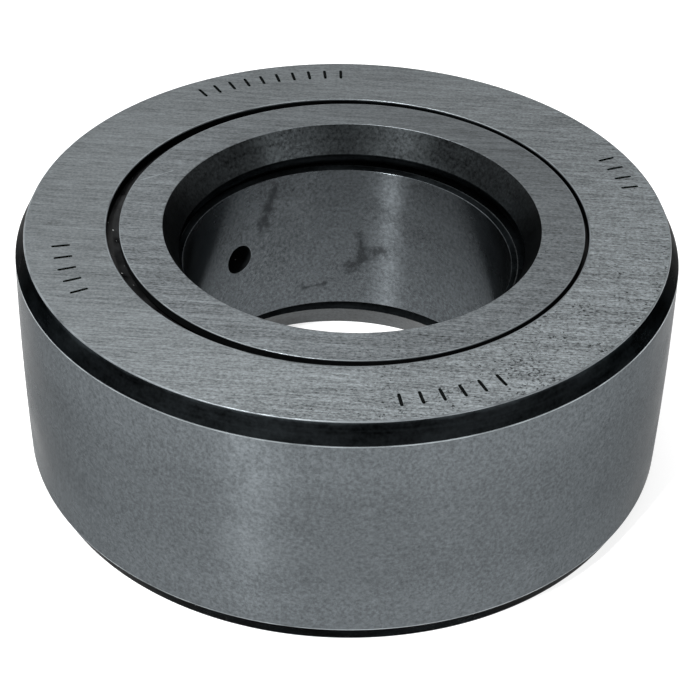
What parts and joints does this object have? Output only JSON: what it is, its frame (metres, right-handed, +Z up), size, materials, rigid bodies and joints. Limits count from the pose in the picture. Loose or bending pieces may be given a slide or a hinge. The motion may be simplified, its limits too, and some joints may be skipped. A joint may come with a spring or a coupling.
{
  "type": "cam follower",
  "caption": "Yoke-type track roller: a thick crowned outer ring turning on a caged roller set around a bored inner ring, with loose side washers.",
  "frame": {"origin": "centre of the lower face, on the bore's axis", "axes": "+Z up along the bore's axis and the axis of rotation; X and Y lie in the face, and the oil hole is at 135 degrees from +X towards +Y"},
  "size_m": [0.08, 0.08, 0.032],
  "materials": {
    "outer_ring_steel": "ground grey steel with black chamfers",
    "washer_steel": "surface-ground grey steel, a little darker than the outer ring",
    "inner_ring_steel": "ground bore with a light oil film",
    "roller_steel": "lapped bright bearing steel",
    "cage_steel": "plain machined steel",
    "seal_rubber": "black nitrile rubber, lightly greased"
  },
  "bodies": {
    "inner_body": {"inner_ring": "inner_ring_steel", "side_washer_top": "washer_steel", "side_washer_bottom": "washer_steel"},
    "outer_body": {"outer_ring": "outer_ring_steel", "seal_ring_top": "seal_rubber", "seal_ring_bottom": "seal_rubber"},
    "cage_body": {"roller_cage": "cage_steel"},
    "roller_01_body": {"roller_01": "roller_steel"},
    "roller_02_body": {"roller_02": "roller_steel"},
    "roller_03_body": {"roller_03": "roller_steel"},
    "roller_04_body": {"roller_04": "roller_steel"},
    "roller_05_body": {"roller_05": "roller_steel"},
    "roller_06_body": {"roller_06": "roller_steel"},
    "roller_07_body": {"roller_07": "roller_steel"},
    "roller_08_body": {"roller_08": "roller_steel"},
    "roller_09_body": {"roller_09": "roller_steel"},
    "roller_10_body": {"roller_10": "roller_steel"},
    "roller_11_body": {"roller_11": "roller_steel"},
    "roller_12_body": {"roller_12": "roller_steel"},
    "roller_13_body": {"roller_13": "roller_steel"},
    "roller_14_body": {"roller_14": "roller_steel"},
    "roller_15_body": {"roller_15": "roller_steel"},
    "roller_16_body": {"roller_16": "roller_steel"},
    "roller_17_body": {"roller_17": "roller_steel"},
    "roller_18_body": {"roller_18": "roller_steel"},
    "roller_19_body": {"roller_19": "roller_steel"},
    "roller_20_body": {"roller_20": "roller_steel"}
  },
  "joints": [
    {"name": "outer_ring_spin", "type": "hinge", "parent": "inner_body", "child": "outer_body", "pos_m": [0, 0, 0.016], "axis": [0, 0, 1], "continuous": true},
    {"name": "cage_orbit", "type": "hinge", "parent": "inner_body", "child": "cage_body", "pos_m": [0, 0, 0.016], "axis": [0, 0, 1], "continuous": true},
    {"name": "roller_01_spin", "type": "hinge", "parent": "cage_body", "child": "roller_01_body", "pos_m": [0.028, 0, 0.016], "axis": [0, 0, 1], "continuous": true},
    {"name": "roller_02_spin", "type": "hinge", "parent": "cage_body", "child": "roller_02_body", "pos_m": [0.02663, 0.00865, 0.016], "axis": [0, 0, 1], "continuous": true},
    {"name": "roller_03_spin", "type": "hinge", "parent": "cage_body", "child": "roller_03_body", "pos_m": [0.02265, 0.01646, 0.016], "axis": [0, 0, 1], "continuous": true},
    {"name": "roller_04_spin", "type": "hinge", "parent": "cage_body", "child": "roller_04_body", "pos_m": [0.01646, 0.02265, 0.016], "axis": [0, 0, 1], "continuous": true},
    {"name": "roller_05_spin", "type": "hinge", "parent": "cage_body", "child": "roller_05_body", "pos_m": [0.00865, 0.02663, 0.016], "axis": [0, 0, 1], "continuous": true},
    {"name": "roller_06_spin", "type": "hinge", "parent": "cage_body", "child": "roller_06_body", "pos_m": [0, 0.028, 0.016], "axis": [0, 0, 1], "continuous": true},
    {"name": "roller_07_spin", "type": "hinge", "parent": "cage_body", "child": "roller_07_body", "pos_m": [-0.00865, 0.02663, 0.016], "axis": [0, 0, 1], "continuous": true},
    {"name": "roller_08_spin", "type": "hinge", "parent": "cage_body", "child": "roller_08_body", "pos_m": [-0.01646, 0.02265, 0.016], "axis": [0, 0, 1], "continuous": true},
    {"name": "roller_09_spin", "type": "hinge", "parent": "cage_body", "child": "roller_09_body", "pos_m": [-0.02265, 0.01646, 0.016], "axis": [0, 0, 1], "continuous": true},
    {"name": "roller_10_spin", "type": "hinge", "parent": "cage_body", "child": "roller_10_body", "pos_m": [-0.02663, 0.00865, 0.016], "axis": [0, 0, 1], "continuous": true},
    {"name": "roller_11_spin", "type": "hinge", "parent": "cage_body", "child": "roller_11_body", "pos_m": [-0.028, 0, 0.016], "axis": [0, 0, 1], "continuous": true},
    {"name": "roller_12_spin", "type": "hinge", "parent": "cage_body", "child": "roller_12_body", "pos_m": [-0.02663, -0.00865, 0.016], "axis": [0, 0, 1], "continuous": true},
    {"name": "roller_13_spin", "type": "hinge", "parent": "cage_body", "child": "roller_13_body", "pos_m": [-0.02265, -0.01646, 0.016], "axis": [0, 0, 1], "continuous": true},
    {"name": "roller_14_spin", "type": "hinge", "parent": "cage_body", "child": "roller_14_body", "pos_m": [-0.01646, -0.02265, 0.016], "axis": [0, 0, 1], "continuous": true},
    {"name": "roller_15_spin", "type": "hinge", "parent": "cage_body", "child": "roller_15_body", "pos_m": [-0.00865, -0.02663, 0.016], "axis": [0, 0, 1], "continuous": true},
    {"name": "roller_16_spin", "type": "hinge", "parent": "cage_body", "child": "roller_16_body", "pos_m": [0, -0.028, 0.016], "axis": [0, 0, 1], "continuous": true},
    {"name": "roller_17_spin", "type": "hinge", "parent": "cage_body", "child": "roller_17_body", "pos_m": [0.00865, -0.02663, 0.016], "axis": [0, 0, 1], "continuous": true},
    {"name": "roller_18_spin", "type": "hinge", "parent": "cage_body", "child": "roller_18_body", "pos_m": [0.01646, -0.02265, 0.016], "axis": [0, 0, 1], "continuous": true},
    {"name": "roller_19_spin", "type": "hinge", "parent": "cage_body", "child": "roller_19_body", "pos_m": [0.02265, -0.01646, 0.016], "axis": [0, 0, 1], "continuous": true},
    {"name": "roller_20_spin", "type": "hinge", "parent": "cage_body", "child": "roller_20_body", "pos_m": [0.02663, -0.00865, 0.016], "axis": [0, 0, 1], "continuous": true}
  ],
  "couplings": [
    {"joint": "cage_orbit", "follows": "outer_ring_spin", "ratio": 0.55357},
    {"joint": "roller_01_spin", "follows": "outer_ring_spin", "ratio": 4.6131},
    {"joint": "roller_02_spin", "follows": "outer_ring_spin", "ratio": 4.6131},
    {"joint": "roller_03_spin", "follows": "outer_ring_spin", "ratio": 4.6131},
    {"joint": "roller_04_spin", "follows": "outer_ring_spin", "ratio": 4.6131},
    {"joint": "roller_05_spin", "follows": "outer_ring_spin", "ratio": 4.6131},
    {"joint": "roller_06_spin", "follows": "outer_ring_spin", "ratio": 4.6131},
    {"joint": "roller_07_spin", "follows": "outer_ring_spin", "ratio": 4.6131},
    {"joint": "roller_08_spin", "follows": "outer_ring_spin", "ratio": 4.6131},
    {"joint": "roller_09_spin", "follows": "outer_ring_spin", "ratio": 4.6131},
    {"joint": "roller_10_spin", "follows": "outer_ring_spin", "ratio": 4.6131},
    {"joint": "roller_11_spin", "follows": "outer_ring_spin", "ratio": 4.6131},
    {"joint": "roller_12_spin", "follows": "outer_ring_spin", "ratio": 4.6131},
    {"joint": "roller_13_spin", "follows": "outer_ring_spin", "ratio": 4.6131},
    {"joint": "roller_14_spin", "follows": "outer_ring_spin", "ratio": 4.6131},
    {"joint": "roller_15_spin", "follows": "outer_ring_spin", "ratio": 4.6131},
    {"joint": "roller_16_spin", "follows": "outer_ring_spin", "ratio": 4.6131},
    {"joint": "roller_17_spin", "follows": "outer_ring_spin", "ratio": 4.6131},
    {"joint": "roller_18_spin", "follows": "outer_ring_spin", "ratio": 4.6131},
    {"joint": "roller_19_spin", "follows": "outer_ring_spin", "ratio": 4.6131},
    {"joint": "roller_20_spin", "follows": "outer_ring_spin", "ratio": 4.6131}
  ]
}
